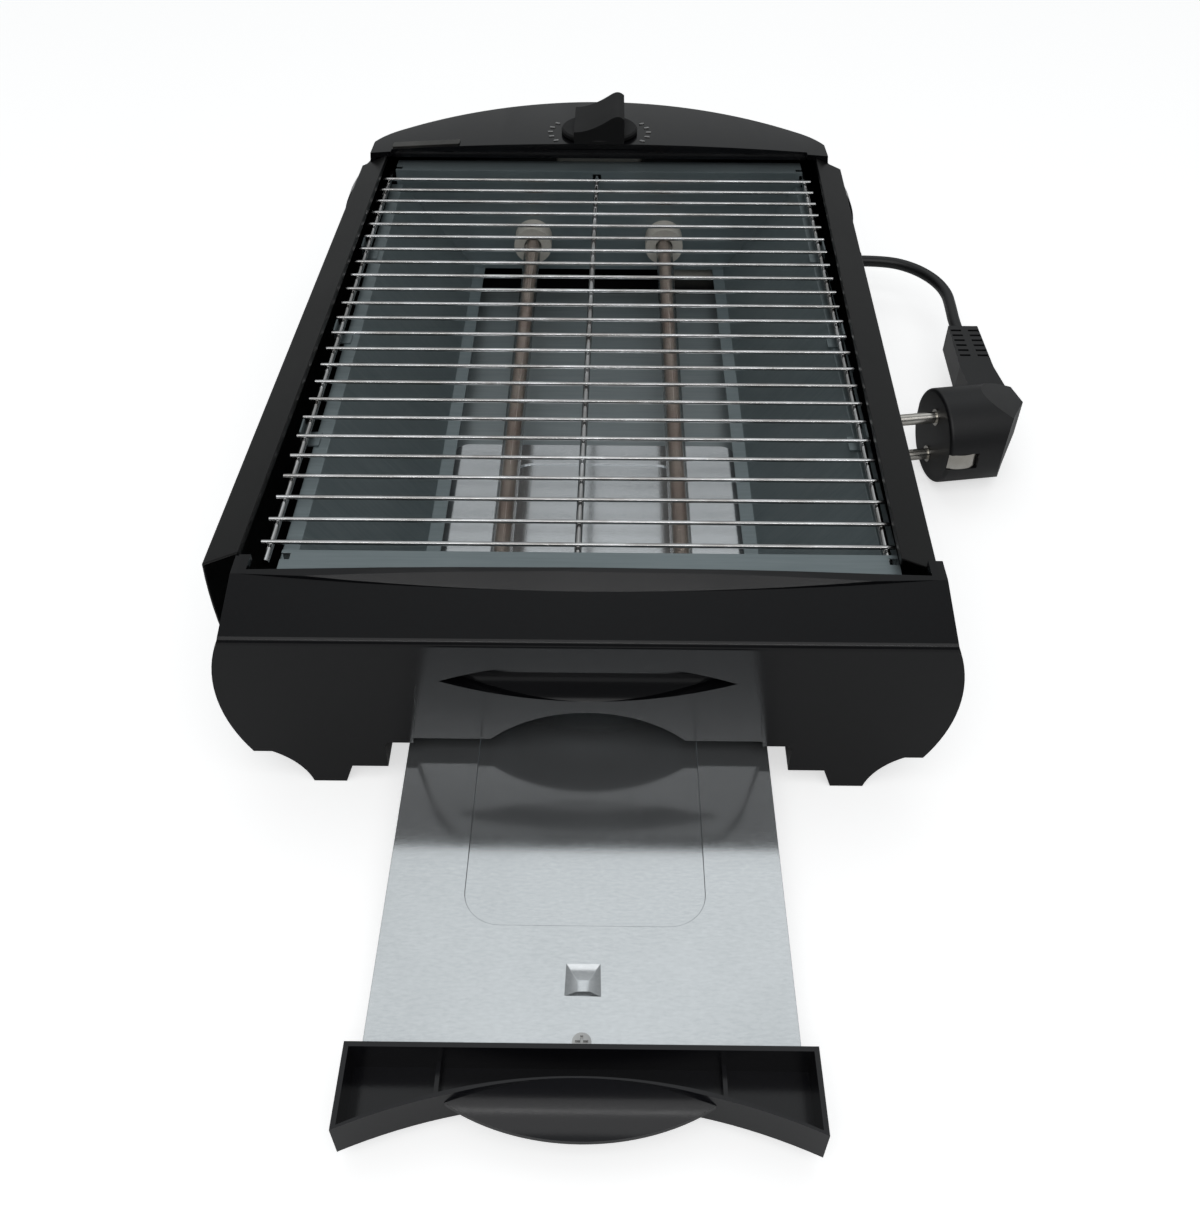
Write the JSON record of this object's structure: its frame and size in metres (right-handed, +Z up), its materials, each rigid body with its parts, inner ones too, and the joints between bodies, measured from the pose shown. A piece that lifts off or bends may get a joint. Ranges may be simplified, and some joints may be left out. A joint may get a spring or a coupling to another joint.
{
  "type": "flat toaster",
  "caption": "Low flat toaster: a wire rack over two quartz heating tubes in a steel trough, black end caps and side panels, a timer knob, a pull-out crumb tray and a mains plug.",
  "frame": {"origin": "on the table, below the middle of the toaster's box with its crumb tray pulled out, the free cord and plug left out", "axes": "+X to the right seen from the tray's end, +Y towards the knob's end, +Z up"},
  "size_m": [0.311, 0.506, 0.095],
  "materials": {
    "black_plastic": "satin moulded, faint grain",
    "black_paint": "satin black stoved paint",
    "aluminised_steel": "dull bright, faint rolling lines",
    "zinc_steel": "zinc plated",
    "chrome_wire": "bright plated wire",
    "ceramic": null,
    "quartz": "clear to milky quartz",
    "resistance_wire": "oxidised nickel chrome wire",
    "timer_case": "plain moulded case",
    "shaft_steel": "turned steel",
    "knob_plastic": "matt moulded, fine grain",
    "white_print": "pad printed",
    "badge_metal": "dark satin strip",
    "cord_rubber": "smooth black sheath",
    "terminal_plastic": "pale moulded block",
    "lead_sleeve": "glass fibre sleeve",
    "tray_steel": "bright rolled sheet, lengthwise grain across the tray",
    "plug_rubber": "semi-gloss moulded",
    "nickel": "nickel plated brass"
  },
  "bodies": {
    "housing": {"front_cap": "black_plastic", "rear_cap": "black_plastic", "left_side_panel": "black_paint", "right_side_panel": "black_paint", "base_plate": "aluminised_steel", "base_screws": "zinc_steel", "tray_guides": "aluminised_steel", "reflector_left": "aluminised_steel", "reflector_right": "aluminised_steel", "reflector_rear_wall": "aluminised_steel", "reflector_front_wall": "aluminised_steel", "rack_cross_wires": "chrome_wire", "rack_long_wires": "chrome_wire", "rack_clips": "aluminised_steel", "ceramic_holders_rear": "ceramic", "ceramic_holders_front": "ceramic", "quartz_tube_left": "quartz", "quartz_tube_right": "quartz", "heating_coil_left": "resistance_wire", "heating_coil_right": "resistance_wire", "tube_pins": "zinc_steel", "tube_link": "zinc_steel", "timer_body": "timer_case", "dial_marks": "white_print", "badge_plate": "badge_metal", "strain_relief": "cord_rubber", "terminal_block": "terminal_plastic", "inner_cord": "cord_rubber", "lead_left": "lead_sleeve", "lead_right": "lead_sleeve", "plug_body": "plug_rubber", "plug_pins": "nickel", "earth_clips": "nickel", "mains_cord": "cord_rubber"},
    "tray": {"tray_sheet": "tray_steel", "tray_front": "black_plastic", "tray_screw": "zinc_steel"},
    "knob": {"knob": "knob_plastic", "knob_shaft": "shaft_steel"}
  },
  "joints": [
    {"name": "tray_slide", "type": "slide", "parent": "housing", "child": "tray", "axis": [0, 1, 0], "range_m": [-0.12, 0.124]},
    {"name": "knob_turn", "type": "hinge", "parent": "housing", "child": "knob", "pos_m": [0, 0.20655, 0.08055], "axis": [0, 0.0698, 0.9976], "range_deg": [-270, 0]}
  ]
}
